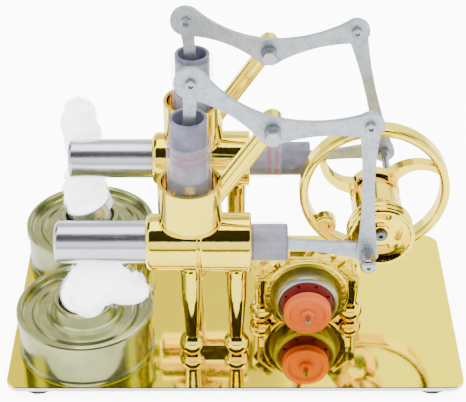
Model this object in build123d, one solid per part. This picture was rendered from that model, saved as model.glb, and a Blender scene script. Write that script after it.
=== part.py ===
from build123d import *
import math
import os

# Twin-beam hot-air engine on a plate, in millimetres.
# Everything is drawn from the centre of the base plate's top face: X to the right along the
# plate, Y to the back, Z up. write() then moves it once, so that the finished part has its
# origin at the bottom centre of its bounding box.

# ---- base ----
PLATE_LENGTH = 170.0
PLATE_DEPTH = 95.1
PLATE_THICKNESS = 1.7
PLATE_CORNER = 5.5
FOOT_RADIUS = 7.0
FOOT_HEIGHT = 3.3
FOOT_INSET_X = 11.7
FOOT_INSET_Y = 8.2
SCREW_RADIUS = 1.5
SCREW_DEPTH = 8.0

# ---- spirit burners ----
CAN_RADIUS = 25.8
CAN_HEIGHT = 18.4
CAN_WALL = 0.6
CAN_BODY_RADIUS = CAN_RADIUS - 0.7
SEAM_HEIGHT = 3.0
LID_DROP = 2.9
NECK_RADIUS = 10.8
NECK_TOP = 21.5
NECK_WALL = 1.0
BURNERS = {"front": (-56.5, -21.7), "rear": (-58.8, 32.6)}
CUP_RADIUS = 9.4
CUP_STEM_RADIUS = 7.0
CUP_WALL = 0.5
CUP_BAND = 4.0
CUP_DEPTH = 9.5
CUP_RIM = {"front": (-56.5, -23.1, 26.4), "rear": (-59.3, 32.6, 28.2)}
CUP_LEAN = {"front": (-112.0, 33.0), "rear": (180.0, 17.0)}
COTTON_GAP = 0.15

# ---- the two engine units: each has its own centre plane ----
UNITS = {"front": -26.0, "rear": 29.0}
AXIS_HEIGHT = 51.0
BLOCK_LEFT = -32.2
BLOCK_STEP = -13.0
SEAM_GAP = 0.3
BLOCK_RIGHT = 5.7
BLOCK_RADIUS = 10.3
BLOCK_RADIUS_RIGHT = 10.8
HOT_LEFT = -65.0
HOT_RIGHT = -21.0
HOT_RADIUS = 7.6
HOT_WALL = 0.5
CHAMBER_RIGHT = -12.0
WALL_RIGHT = -8.0
GUIDE_TUBE_RIGHT = 18.0
GUIDE_TUBE_RADIUS = 7.2
SOCKET_X = -16.1
SOCKET_RADIUS = 11.4
SOCKET_WALL = 1.3
SOCKET_NECK = 6.5
SOCKET_BOTTOM = 60.3
SOCKET_FLOOR = 66.5
SOCKET_TOP = 77.6
SLEEVE_BOTTOM = {"front": 61.0, "rear": 63.2}
SLEEVE_LENGTH = 33.0
SLEEVE_RADIUS = 7.9
PORT_RADIUS = 4.0
BUSH_RADIUS = 3.0
ARM_ROOT_HEIGHT = 70.0
ARM_WIDTH = 6.2
BOSS_RADIUS = 3.7
LEG_XS = (-16.2, 0.5)
LEG_RADIUS = 3.7
BALL_RADIUS = 4.9
BALL_CENTRE = 3.9
BALL_NECK = 2.6

# ---- pistons (the power piston and the guide piston are the same part) ----
PISTON_RADIUS = 6.6
PISTON_CLEARANCE = 0.06
PISTON_INNER = 5.4
PISTON_LENGTH = 24.0
PISTON_CROWN = 2.0
WRIST_DEPTH = 7.0
WRIST_RADIUS = 1.0
RING_DEPTHS = (12.2, 15.2)
RING_WIDTH = 1.6
RING_INSET = 0.5
DISPLACER_RADIUS = 6.5
DISPLACER_LENGTH = 26.0
DISPLACER_GAP = 81.1
ROD_RADIUS = 1.0
RUNNING_GAP = 0.05
LINK_PLAY = 0.6

# ---- beam, rods and crank ----
BEAM_PIVOT = (12.6, 100.5)
BEAM_ARM = 33.3
BEAM_ANGLE = 142.0
BEAM_THICKNESS = 1.8
BEAM_EYE_LEFT = 5.8
BEAM_EYE_RIGHT = 4.9
BEAM_HUB = 5.4
BEAM_WAIST = 2.7
ROD_THICKNESS = 1.6
LAYER_GAP = 0.3
VERTICAL_ROD = 55.7
HORIZONTAL_ROD = 36.0
PISTON_LINK = 22.6
PIN_RADIUS = 1.4
BOLT_RADIUS = 3.0
CRANK_X = 52.8
CRANK_RADIUS = 6.6
CRANK_ANGLE = {"front": 218.0, "rear": 38.0}
SHAFT_RADIUS = 2.3
PULLEY_RADIUS = 12.2
PULLEY_FRONT = -24.0
PULLEY_BACK = -16.0
PULLEY_RECESS = 4.0
PULLEY_GROOVE = 1.5
HOUSING_RADIUS = 9.3
HOUSING_FRONT = -15.0
HOUSING_BACK = -1.0
BEARING_RADIUS = 5.0
BEARING_WIDTH = 4.0
WHEEL_FRONT = 4.0
WHEEL_BACK = 11.5
WHEEL_RADIUS = 28.5
WHEEL_INNER = 25.1
WHEEL_HUB = 9.4
SPOKES = 3

# ---- generator ----
MOTOR_X = 27.4
MOTOR_HEIGHT = 13.0
MOTOR_RADIUS = 12.2
CAP_RADIUS = 10.2
MOTOR_FRONT = -14.8
MOTOR_BACK = -2.5
MOTOR_SHAFT_TIP = -26.2
MOTOR_SHAFT_RADIUS = 1.0
DRIVE_RADIUS = 9.0
DRIVE_FRONT = -21.9
DRIVE_BACK = -18.4
RING_FRONT = -9.5
RING_BACK = -3.5
RING_RADIUS = 16.6
RING_MOUTH = 14.0
POST_SPREAD = 17.2
POST_RADIUS = 3.1

# ---- layers of one unit along Y, from its centre plane towards the front ----
HORIZONTAL_FRONT = -0.4
HORIZONTAL_BACK = HORIZONTAL_FRONT + ROD_THICKNESS
VERTICAL_BACK = HORIZONTAL_FRONT - LAYER_GAP
VERTICAL_FRONT = VERTICAL_BACK - ROD_THICKNESS
BEAM_BACK = VERTICAL_FRONT - LAYER_GAP
BEAM_FRONT = BEAM_BACK - BEAM_THICKNESS


# ---- where the linkage stands when the crank pin is at a given angle ----
def crank_pin(angle):
    turn = math.radians(angle)
    return (CRANK_X + CRANK_RADIUS * math.cos(turn), AXIS_HEIGHT + CRANK_RADIUS * math.sin(turn))


def beam_tilt(angle):
    """Angle of the beam's right arm above the horizontal, in degrees."""
    pin_x, pin_z = crank_pin(angle)
    across = pin_x - BEAM_PIVOT[0]
    down = BEAM_PIVOT[1] - pin_z
    reach = math.hypot(across, down)
    inner = (BEAM_ARM**2 + reach**2 - VERTICAL_ROD**2) / (2 * BEAM_ARM * reach)
    return math.degrees(math.acos(inner) - math.atan2(down, across))


def beam_end(tilt, side):
    turn = math.radians(tilt if side == "right" else tilt + BEAM_ANGLE)
    return (BEAM_PIVOT[0] + BEAM_ARM * math.cos(turn), BEAM_PIVOT[1] + BEAM_ARM * math.sin(turn))


def power_pin(angle):
    """Wrist pin of the power piston, under the beam's left end."""
    end_x, end_z = beam_end(beam_tilt(angle), "left")
    return (SOCKET_X, end_z - math.sqrt(PISTON_LINK**2 - (end_x - SOCKET_X) ** 2))


def guide_pin(angle):
    """Wrist pin of the guide piston, on the horizontal cylinder's axis."""
    pin_x, pin_z = crank_pin(angle)
    return (pin_x - math.sqrt(HORIZONTAL_ROD**2 - (pin_z - AXIS_HEIGHT) ** 2), AXIS_HEIGHT)


# ---- drawing helpers ----
def along_x(radius, x0, x1, y, z):
    return Pos((x0 + x1) / 2, y, z) * Rot(0, 90, 0) * Cylinder(radius, x1 - x0)


def along_y(radius, x, y0, y1, z):
    return Pos(x, (y0 + y1) / 2, z) * Rot(90, 0, 0) * Cylinder(radius, y1 - y0)


def along_z(radius, x, y, z0, z1):
    return Pos(x, y, (z0 + z1) / 2) * Cylinder(radius, z1 - z0)


def block(x0, x1, y0, y1, z0, z1):
    return Pos((x0 + x1) / 2, (y0 + y1) / 2, (z0 + z1) / 2) * Box(x1 - x0, y1 - y0, z1 - z0)


def turned(points):
    """Solid of revolution about Z from (radius, height) points."""
    outline = Polyline([(radius, 0, height) for radius, height in points], close=True)
    return revolve(make_face(outline), Axis.Z)


def turned_along_y(points, x, z):
    """The same about an axis along Y: each point is (radius, y)."""
    return Pos(x, 0, z) * Rot(-90, 0, 0) * turned(points)


def hexagon_along_y(flats, x, y0, y1, z):
    sketch = RegularPolygon(flats / math.sqrt(3), 6)
    return Pos(x, y0, z) * Rot(-90, 0, 0) * extrude(sketch, y1 - y0)


def waisted_bar(start, end, start_radius, end_radius, waist, y0, y1):
    """Flat bar in the XZ plane: round ends joined by sides that draw in to a waist."""
    length = math.hypot(end[0] - start[0], end[1] - start[1])
    slope = math.degrees(math.atan2(end[1] - start[1], end[0] - start[0]))
    near = 0.94
    lean = math.sqrt(1 - near**2)
    left = (start_radius * lean, start_radius * near)
    right = (length - end_radius * lean, end_radius * near)
    top = ThreePointArc(left, (length / 2, waist), right)
    bottom = ThreePointArc((right[0], -right[1]), (length / 2, -waist), (left[0], -left[1]))
    sides = [top, Line(top @ 1, bottom @ 0), bottom, Line(bottom @ 1, top @ 0)]
    sketch = make_face(sides) + Circle(start_radius) + Pos(length, 0) * Circle(end_radius)
    bar = extrude(sketch, y1 - y0)
    return Pos(start[0], y1, start[1]) * Rot(0, -slope, 0) * Rot(90, 0, 0) * bar


def eye(point, y0, y1, radius):
    """Cutter for a round hole through a bar."""
    return along_y(radius, point[0], y0 - 1, y1 + 1, point[1])


def write(name, shape):
    shift = Pos(0, -(BURNERS["rear"][1] + CAN_RADIUS - PLATE_DEPTH / 2) / 2, PLATE_THICKNESS + FOOT_HEIGHT)
    export_step(shift * shape, "parts/" + name + ".step")


# ---- base ----
def screw_places():
    legs = [(x, y) for y in UNITS.values() for x in LEG_XS]
    posts = [(MOTOR_X + side * POST_SPREAD, (RING_FRONT + RING_BACK) / 2) for side in (-1, 1)]
    return legs + posts


def base_plate():
    plate = block(-PLATE_LENGTH / 2, PLATE_LENGTH / 2, -PLATE_DEPTH / 2, PLATE_DEPTH / 2, -PLATE_THICKNESS, 0)
    plate = fillet(plate.edges().filter_by(Axis.Z), PLATE_CORNER)
    plate = chamfer(plate.faces().sort_by(Axis.Z)[-1].edges(), 0.25)
    for x, y in screw_places():
        plate -= along_z(SCREW_RADIUS + 0.1, x, y, -PLATE_THICKNESS - 1, 1)
    return plate


def rubber_feet():
    foot = turned([
        (0, -PLATE_THICKNESS),
        (FOOT_RADIUS, -PLATE_THICKNESS),
        (FOOT_RADIUS - 0.2, -PLATE_THICKNESS - FOOT_HEIGHT + 0.8),
        (FOOT_RADIUS - 0.9, -PLATE_THICKNESS - FOOT_HEIGHT),
        (0, -PLATE_THICKNESS - FOOT_HEIGHT),
    ])
    x = PLATE_LENGTH / 2 - FOOT_INSET_X
    y = PLATE_DEPTH / 2 - FOOT_INSET_Y
    return Compound([Pos(sx * x, sy * y, 0) * foot for sx in (-1, 1) for sy in (-1, 1)])


def base_screws():
    screw = turned([
        (0, SCREW_DEPTH),
        (SCREW_RADIUS, SCREW_DEPTH),
        (SCREW_RADIUS, -PLATE_THICKNESS),
        (2.8, -PLATE_THICKNESS),
        (2.5, -PLATE_THICKNESS - 1.5),
        (0, -PLATE_THICKNESS - 1.8),
    ])
    slot = block(-3, 3, -0.3, 0.3, -PLATE_THICKNESS - 2, -PLATE_THICKNESS - 1)
    cross = slot + Rot(0, 0, 90) * slot
    return Compound([Pos(x, y, 0) * (screw - cross) for x, y in screw_places()])


# ---- spirit burners ----
def can_body(place):
    inner = CAN_BODY_RADIUS - CAN_WALL
    shell = turned([
        (0, 0.5),
        (CAN_BODY_RADIUS - 2.2, 0.5),
        (CAN_BODY_RADIUS - 2.0, 0),
        (CAN_RADIUS - 0.2, 0),
        (CAN_RADIUS, 0.4),
        (CAN_RADIUS, 1.5),
        (CAN_BODY_RADIUS, 2.1),
        (CAN_BODY_RADIUS, CAN_HEIGHT - SEAM_HEIGHT - 0.4),
        (CAN_RADIUS, CAN_HEIGHT - SEAM_HEIGHT),
        (CAN_RADIUS, CAN_HEIGHT - 0.5),
        (CAN_RADIUS - 0.5, CAN_HEIGHT),
        (CAN_RADIUS - 0.8, CAN_HEIGHT),
        (CAN_RADIUS - 0.8, CAN_HEIGHT - SEAM_HEIGHT + 0.2),
        (inner, CAN_HEIGHT - SEAM_HEIGHT - 0.4),
        (inner, 1.6),
        (inner - 0.5, 1.1),
        (0, 1.1),
    ])
    return Pos(place[0], place[1], 0) * shell


def can_lid(place):
    outer = CAN_RADIUS - 0.8
    pan = CAN_HEIGHT - LID_DROP
    sheet = 0.5
    upper = [
        (outer, CAN_HEIGHT),
        (outer - 0.8, CAN_HEIGHT),
        (outer - 1.3, CAN_HEIGHT - 0.5),
        (outer - 1.5, pan + 0.5),
        (outer - 2.1, pan),
        (20.2, pan),
        (19.4, pan + 0.9),
        (18.6, pan + 0.9),
        (17.8, pan + 0.2),
        (14.6, pan + 0.2),
        (13.8, pan + 1.4),
        (13.0, pan + 1.8),
        (NECK_RADIUS + 0.6, NECK_TOP - 0.9),
        (NECK_RADIUS + 0.4, NECK_TOP - 0.2),
        (NECK_RADIUS, NECK_TOP),
        (NECK_RADIUS - NECK_WALL, NECK_TOP),
    ]
    under = [
        (NECK_RADIUS - NECK_WALL, pan + 0.5),
        (12.3, pan + 0.5),
        (13.4, pan + 0.5 - sheet),
        (14.2, pan - sheet),
        (outer - 1.0, pan - sheet),
        (outer, pan - sheet + 1.0),
    ]
    return Pos(place[0], place[1], 0) * turned(upper + under)


def cup_frame(side):
    """Place of a wick cup: its rim's centre, with the whole cup leaning over in the neck."""
    heading, lean = CUP_LEAN[side]
    return Pos(*CUP_RIM[side]) * Rot(0, 0, heading) * Rot(0, lean, 0)


def wick_cup(side):
    """Thin cup with a wide band at its rim and a narrower stem, open at both ends."""
    inner = CUP_RADIUS - CUP_WALL
    stem_inner = CUP_STEM_RADIUS - CUP_WALL
    cup = turned([
        (stem_inner, -CUP_DEPTH),
        (CUP_STEM_RADIUS, -CUP_DEPTH),
        (CUP_STEM_RADIUS, -CUP_BAND),
        (CUP_RADIUS - 0.3, -CUP_BAND),
        (CUP_RADIUS, -CUP_BAND + 0.3),
        (CUP_RADIUS, -0.3),
        (CUP_RADIUS - 0.2, 0),
        (inner, 0),
        (inner, -CUP_BAND + CUP_WALL),
        (stem_inner, -CUP_BAND + CUP_WALL),
    ])
    return cup_frame(side) * cup


def egg(radius, half_length):
    """Smooth lump turned about Z, centred on the origin."""
    steps = 10
    turns = [math.pi * (count / steps - 0.5) for count in range(steps + 1)]
    points = [(radius * math.cos(turn), half_length * math.sin(turn)) for turn in turns]
    points[0] = (0, -half_length)
    points[-1] = (0, half_length)
    return turned(points)


def cotton_plug(side):
    """The part of the cotton that fills the cup."""
    shoulder = -CUP_BAND + CUP_WALL + COTTON_GAP
    stem = along_z(CUP_STEM_RADIUS - CUP_WALL - COTTON_GAP, 0, 0, -CUP_DEPTH - 1.0, shoulder)
    wide = along_z(CUP_RADIUS - CUP_WALL - COTTON_GAP, 0, 0, shoulder, 2 * COTTON_GAP)
    return cup_frame(side) * (stem + wide)


def cotton_wick(side):
    """Plain solid of a tuft of cotton: a plug in the cup and lumps that swell out of it."""
    x, y = BURNERS[side]
    if side == "front":
        tuft = Pos(-50.2, y - 2.6, 32.0) * Rot(0, 90, 0) * egg(9.4, 10.8)
        tuft += Pos(-41.6, y - 3.0, 29.2) * Rot(0, 102, 0) * egg(6.6, 10.2)
        tuft += Pos(-54.0, y - 8.6, 27.5) * egg(6.4, 6.6)
    else:
        tuft = Pos(-60.4, y + 3.4, 31.5) * Rot(-24, 0, 0) * egg(8.6, 14.5)
        tuft += Pos(-61.4, y + 12.6, 52.5) * Rot(0, -4, 0) * egg(7.4, 16.5)
    tuft -= cup_frame(side) * along_z(CUP_RADIUS + COTTON_GAP, 0, 0, -2 * CUP_DEPTH, COTTON_GAP)
    tuft -= along_z(NECK_RADIUS + 1.0, x, y, 0, NECK_TOP + COTTON_GAP)
    return tuft + cotton_plug(side)


# ---- engine block ----
def ball_post(upper):
    """Round post on a ball foot; upper goes on from the neck as (radius, height) points."""
    foot_radius = math.sqrt(BALL_RADIUS**2 - BALL_CENTRE**2)
    neck = (BALL_NECK, 0, BALL_CENTRE + math.sqrt(BALL_RADIUS**2 - BALL_NECK**2))
    ball = ThreePointArc((foot_radius, 0, 0), (BALL_RADIUS, 0, BALL_CENTRE), neck)
    shaft = Polyline([neck] + [(radius, 0, height) for radius, height in upper] + [(0, 0, upper[-1][1])])
    axis = Line(shaft @ 1, (0, 0, 0))
    base = Line((0, 0, 0), (foot_radius, 0, 0))
    return revolve(make_face([base, ball, shaft, axis]), Axis.Z)


def leg(x, y):
    """Leg that widens from its ball foot up to a small flare under the cylinder."""
    top = AXIS_HEIGHT - BLOCK_RADIUS
    return Pos(x, y, 0) * ball_post([
        (BALL_NECK, 9.2),
        (LEG_RADIUS - 0.7, 16.0),
        (LEG_RADIUS - 0.1, 26.0),
        (LEG_RADIUS, top - 5.0),
        (LEG_RADIUS + 0.3, top - 1.4),
        (LEG_RADIUS + 1.0, top + 0.4),
        (LEG_RADIUS + 1.0, top + 2.4),
    ])


def round_bar(start, end, width, y0, y1, corner):
    """Straight bar in the XZ plane with rounded long edges."""
    length = math.hypot(end[0] - start[0], end[1] - start[1])
    slope = math.degrees(math.atan2(end[1] - start[1], end[0] - start[0]))
    bar = Pos(length / 2, 0, 0) * Box(length, y1 - y0, width)
    bar = fillet(bar.edges().filter_by(Axis.X), corner)
    return Pos(start[0], (y0 + y1) / 2, start[1]) * Rot(0, -slope, 0) * bar


def pivot_arm(y):
    """Inclined bar from the socket up to the beam's pivot boss."""
    root = (SOCKET_X + SOCKET_RADIUS - 3.0, ARM_ROOT_HEIGHT)
    bar = round_bar(root, BEAM_PIVOT, ARM_WIDTH, y - 1.9, y + 2.6, 1.5)
    rib = round_bar(root, BEAM_PIVOT, ARM_WIDTH - 3.4, y - 2.6, y + 2.6, 0.8)
    boss = along_y(BOSS_RADIUS, BEAM_PIVOT[0], y + BEAM_BACK + LAYER_GAP, y + 5.5, BEAM_PIVOT[1])
    boss = fillet(boss.edges().sort_by(Axis.Y)[-1], 0.8)
    return bar + rib + boss


def barrel(y):
    """Horizontal cylinder casting: two halves with rounded ends and a narrow seam between them."""
    left = along_x(BLOCK_RADIUS, BLOCK_LEFT, BLOCK_STEP - SEAM_GAP, y, AXIS_HEIGHT)
    left = fillet(left.edges().group_by(Axis.X)[0], 2.4)
    left = fillet(left.edges().group_by(Axis.X)[-1], 0.9)
    right = along_x(BLOCK_RADIUS_RIGHT, BLOCK_STEP + SEAM_GAP, BLOCK_RIGHT, y, AXIS_HEIGHT)
    right = fillet(right.edges().group_by(Axis.X)[-1], 0.8)
    right = fillet(right.edges().group_by(Axis.X)[0], 1.2)
    joint = along_x(BLOCK_RADIUS - 0.9, BLOCK_STEP - 2.0, BLOCK_STEP + 3.0, y, AXIS_HEIGHT)
    return left + right + joint


def cylinder_block(side):
    y = UNITS[side]
    seat = SLEEVE_BOTTOM[side]
    socket = along_z(SOCKET_RADIUS, SOCKET_X, y, SOCKET_BOTTOM, SOCKET_TOP)
    socket = fillet(socket.edges().group_by(Axis.Z)[0], 2.2)
    neck = along_z(SOCKET_NECK, SOCKET_X, y, AXIS_HEIGHT, SOCKET_BOTTOM + 2)
    web = block(LEG_XS[0], LEG_XS[1], y - 1.9, y + 1.9, 0, 3.6)
    body = barrel(y) + socket + neck + web + pivot_arm(y)
    for x in LEG_XS:
        body += leg(x, y)
    body -= along_z(SOCKET_RADIUS - SOCKET_WALL, SOCKET_X, y, SOCKET_FLOOR, SOCKET_TOP + 1)
    body -= along_z(SLEEVE_RADIUS, SOCKET_X, y, seat, SOCKET_FLOOR + 1)
    body -= along_z(PORT_RADIUS, SOCKET_X, y, AXIS_HEIGHT, seat + 1)
    body -= along_x(HOT_RADIUS, BLOCK_LEFT - 1, HOT_RIGHT, y, AXIS_HEIGHT)
    body -= along_x(HOT_RADIUS - HOT_WALL, HOT_RIGHT - 1, CHAMBER_RIGHT, y, AXIS_HEIGHT)
    body -= along_x(GUIDE_TUBE_RADIUS, WALL_RIGHT, BLOCK_RIGHT + 1, y, AXIS_HEIGHT)
    body -= along_x(BUSH_RADIUS, CHAMBER_RIGHT - 1, WALL_RIGHT + 1, y, AXIS_HEIGHT)
    body -= along_y(PIN_RADIUS, BEAM_PIVOT[0], y - 5, y + 3, BEAM_PIVOT[1])
    for x in LEG_XS:
        body -= along_z(SCREW_RADIUS, x, y, -1, SCREW_DEPTH)
    return body


def hot_cylinder(y):
    tube = along_x(HOT_RADIUS, HOT_LEFT, HOT_RIGHT, y, AXIS_HEIGHT)
    tube = fillet(tube.edges().group_by(Axis.X)[0], 1.8)
    hollow = along_x(HOT_RADIUS - HOT_WALL, HOT_LEFT + HOT_WALL, HOT_RIGHT + 1, y, AXIS_HEIGHT)
    hollow = fillet(hollow.edges().group_by(Axis.X)[0], 1.3)
    return tube - hollow


def guide_tube(y):
    tube = along_x(GUIDE_TUBE_RADIUS, WALL_RIGHT, GUIDE_TUBE_RIGHT, y, AXIS_HEIGHT)
    tube = fillet(tube.edges().group_by(Axis.X)[-1], 0.2)
    bore = PISTON_RADIUS + PISTON_CLEARANCE
    return tube - along_x(bore, WALL_RIGHT - 1, GUIDE_TUBE_RIGHT + 1, y, AXIS_HEIGHT)


def glass_sleeve(side):
    """Glass tube with a rounded lip; each stands at its own height in its socket."""
    inner = PISTON_RADIUS + PISTON_CLEARANCE
    low = SLEEVE_BOTTOM[side]
    top = low + SLEEVE_LENGTH
    sleeve = turned([
        (inner, low),
        (SLEEVE_RADIUS, low),
        (SLEEVE_RADIUS, top - 1.8),
        (SLEEVE_RADIUS + 0.4, top - 1.3),
        (SLEEVE_RADIUS + 0.4, top - 0.5),
        (SLEEVE_RADIUS, top - 0.1),
        (SLEEVE_RADIUS - 0.3, top),
        (inner + 0.3, top),
        (inner, top - 0.3),
    ])
    return Pos(SOCKET_X, UNITS[side], 0) * sleeve


def rod_bushes():
    bushes = []
    for y in UNITS.values():
        bush = along_x(BUSH_RADIUS, CHAMBER_RIGHT, WALL_RIGHT, y, AXIS_HEIGHT)
        bore = along_x(ROD_RADIUS + RUNNING_GAP, CHAMBER_RIGHT - 1, WALL_RIGHT + 1, y, AXIS_HEIGHT)
        bushes.append(bush - bore)
    return Compound(bushes)


# ---- pistons: drawn upright with the open end at height 0, then placed ----
def piston():
    grooves = []
    for depth in RING_DEPTHS:
        grooves.append((PISTON_RADIUS, -depth))
        grooves.append((PISTON_RADIUS - RING_INSET, -depth))
        grooves.append((PISTON_RADIUS - RING_INSET, -depth - RING_WIDTH))
        grooves.append((PISTON_RADIUS, -depth - RING_WIDTH))
    body = turned([
        (PISTON_INNER + 0.3, 0),
        (PISTON_RADIUS - 0.2, 0),
        (PISTON_RADIUS, -0.2),
        *grooves,
        (PISTON_RADIUS, -PISTON_LENGTH + 0.4),
        (PISTON_RADIUS - 0.4, -PISTON_LENGTH),
        (0, -PISTON_LENGTH),
        (0, -PISTON_LENGTH + PISTON_CROWN),
        (PISTON_INNER, -PISTON_LENGTH + PISTON_CROWN),
        (PISTON_INNER, -0.3),
    ])
    return body - along_y(WRIST_RADIUS, 0, -PISTON_RADIUS - 1, PISTON_RADIUS + 1, -WRIST_DEPTH)


def piston_rings():
    rings = []
    for depth in RING_DEPTHS:
        ring = along_z(PISTON_RADIUS + 0.02, 0, 0, -depth - RING_WIDTH, -depth)
        rings.append(ring - along_z(PISTON_RADIUS - RING_INSET, 0, 0, -depth - RING_WIDTH - 1, -depth + 1))
    return rings


def wrist_pin():
    half = math.sqrt(PISTON_RADIUS**2 - WRIST_RADIUS**2) - 0.1
    return along_y(WRIST_RADIUS, 0, -half, half, -WRIST_DEPTH)


def power_place(side):
    return Pos(SOCKET_X, UNITS[side], power_pin(CRANK_ANGLE[side])[1] + WRIST_DEPTH)


def guide_place(side):
    return Pos(guide_pin(CRANK_ANGLE[side])[0] + WRIST_DEPTH, UNITS[side], AXIS_HEIGHT) * Rot(0, 90, 0)


def displacer_left(side):
    return guide_pin(CRANK_ANGLE[side])[0] + WRIST_DEPTH - DISPLACER_GAP


def displacer(side):
    x0 = displacer_left(side)
    body = along_x(DISPLACER_RADIUS, x0, x0 + DISPLACER_LENGTH, UNITS[side], AXIS_HEIGHT)
    return fillet(body.edges().group_by(Axis.X)[0] + body.edges().group_by(Axis.X)[-1], 1.2)


def displacer_rod(side):
    x0 = displacer_left(side) + DISPLACER_LENGTH
    x1 = guide_pin(CRANK_ANGLE[side])[0] + WRIST_DEPTH - PISTON_LENGTH
    return along_x(ROD_RADIUS, x0, x1, UNITS[side], AXIS_HEIGHT)


# ---- beam and rods ----
def beam(side):
    y = UNITS[side]
    tilt = beam_tilt(CRANK_ANGLE[side])
    plate = along_y(BEAM_HUB, BEAM_PIVOT[0], y + BEAM_FRONT, y + BEAM_BACK, BEAM_PIVOT[1])
    for arm, radius in (("left", BEAM_EYE_LEFT), ("right", BEAM_EYE_RIGHT)):
        tip = beam_end(tilt, arm)
        plate += waisted_bar(BEAM_PIVOT, tip, BEAM_HUB, radius, BEAM_WAIST, y + BEAM_FRONT, y + BEAM_BACK)
    plate -= eye(BEAM_PIVOT, y + BEAM_FRONT, y + BEAM_BACK, PIN_RADIUS + RUNNING_GAP)
    for arm in ("left", "right"):
        plate -= eye(beam_end(tilt, arm), y + BEAM_FRONT, y + BEAM_BACK, PIN_RADIUS)
    return plate


def beam_screws(side):
    """Socket screws at both ends of the beam; their shanks are the pins of the link and the rod."""
    y = UNITS[side]
    screws = []
    for arm in ("left", "right"):
        x, z = beam_end(beam_tilt(CRANK_ANGLE[side]), arm)
        head = along_y(2.0, x, y + BEAM_FRONT - 1.7, y + BEAM_FRONT, z)
        head = fillet(head.edges().sort_by(Axis.Y)[0], 0.5)
        shank = along_y(PIN_RADIUS, x, y + BEAM_FRONT, y + VERTICAL_BACK - 0.1, z)
        socket = hexagon_along_y(1.9, x, y + BEAM_FRONT - 2, y + BEAM_FRONT - 0.7, z)
        screws.append(head + shank - socket)
    return Compound(screws)


def pivot_bolts():
    """Bolt with a round collar and a hexagon end that carries each beam on its boss."""
    bolts = []
    x, z = BEAM_PIVOT
    for y in UNITS.values():
        front = y + BEAM_FRONT - LAYER_GAP
        collar = along_y(BOLT_RADIUS, x, front - 2.9, front, z)
        head = hexagon_along_y(4.9, x, front - 4.9, front - 2.9, z)
        shank = along_y(PIN_RADIUS, x, front, y + 3, z)
        bolts.append(collar + head + shank)
    return Compound(bolts)


def piston_link(side):
    y = UNITS[side]
    top = beam_end(beam_tilt(CRANK_ANGLE[side]), "left")
    low = power_pin(CRANK_ANGLE[side])
    bar = waisted_bar(top, low, 3.4, 2.7, 2.2, y + VERTICAL_FRONT, y + VERTICAL_BACK)
    bar -= eye(top, y + VERTICAL_FRONT, y + VERTICAL_BACK, PIN_RADIUS + RUNNING_GAP)
    return bar - eye(low, y + VERTICAL_FRONT, y + VERTICAL_BACK, WRIST_RADIUS + LINK_PLAY)


def vertical_rod(side):
    y = UNITS[side]
    top = beam_end(beam_tilt(CRANK_ANGLE[side]), "right")
    low = crank_pin(CRANK_ANGLE[side])
    bar = waisted_bar(top, low, 4.1, 4.1, 2.1, y + VERTICAL_FRONT, y + VERTICAL_BACK)
    bar -= eye(top, y + VERTICAL_FRONT, y + VERTICAL_BACK, PIN_RADIUS + RUNNING_GAP)
    bar -= eye(low, y + VERTICAL_FRONT, y + VERTICAL_BACK, PIN_RADIUS)
    if side == "front":
        return bar
    spacer = along_y(PIN_RADIUS, low[0], y + VERTICAL_FRONT, y + VERTICAL_BACK, low[1])
    return Compound([bar, spacer])


def horizontal_rod(side):
    y = UNITS[side]
    left = guide_pin(CRANK_ANGLE[side])
    right = crank_pin(CRANK_ANGLE[side])
    bar = waisted_bar(left, right, 2.6, 4.0, 2.2, y + HORIZONTAL_FRONT, y + HORIZONTAL_BACK)
    bar -= eye(left, y + HORIZONTAL_FRONT, y + HORIZONTAL_BACK, WRIST_RADIUS + RUNNING_GAP)
    return bar - eye(right, y + HORIZONTAL_FRONT, y + HORIZONTAL_BACK, PIN_RADIUS)


def crank_bolt():
    """Front crank bolt: it clamps the spacer of the vertical rod and shows its long head."""
    y = UNITS["front"]
    x, z = crank_pin(CRANK_ANGLE["front"])
    front = y + VERTICAL_FRONT
    head = along_y(BOLT_RADIUS, x, front - 8.4, front, z)
    head = fillet(head.edges().sort_by(Axis.Y)[0], 1.8)
    shank = along_y(PIN_RADIUS, x, front, y + VERTICAL_BACK, z)
    return head + shank - hexagon_along_y(1.6, x, front - 9, front - 7.6, z)


def crank_spacer(side):
    """Spacer pin in the crank eye of a horizontal rod."""
    y = UNITS[side]
    x, z = crank_pin(CRANK_ANGLE[side])
    return along_y(PIN_RADIUS, x, y + HORIZONTAL_FRONT, y + HORIZONTAL_BACK, z)


# ---- crankshaft group ----
def crankshaft():
    shaft = along_y(SHAFT_RADIUS, CRANK_X, PULLEY_FRONT + 1.0, WHEEL_BACK + 0.5, AXIS_HEIGHT)
    shaft = chamfer(shaft.edges().sort_by(Axis.Y)[0], 0.4)
    centre = along_y(0.8, CRANK_X, PULLEY_FRONT, PULLEY_FRONT + 2.0, AXIS_HEIGHT)
    return shaft - centre


def kidney(radius, width, start, sweep, y0, y1):
    """Cutter for a curved slot around the crank axis; angles in degrees."""
    outer = radius + width / 2
    inner = radius - width / 2
    middle = start + sweep / 2
    stop = start + sweep

    def spot(size, angle):
        return (size * math.cos(math.radians(angle)), size * math.sin(math.radians(angle)))

    top = ThreePointArc(spot(outer, start), spot(outer, middle), spot(outer, stop))
    bottom = ThreePointArc(spot(inner, stop), spot(inner, middle), spot(inner, start))
    sketch = make_face([top, Line(top @ 1, bottom @ 0), bottom, Line(bottom @ 1, top @ 0)])
    for angle in (start, stop):
        sketch += Pos(*spot(radius, angle)) * Circle(width / 2)
    return Pos(CRANK_X, y1, AXIS_HEIGHT) * Rot(90, 0, 0) * extrude(sketch, y1 - y0)


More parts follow.
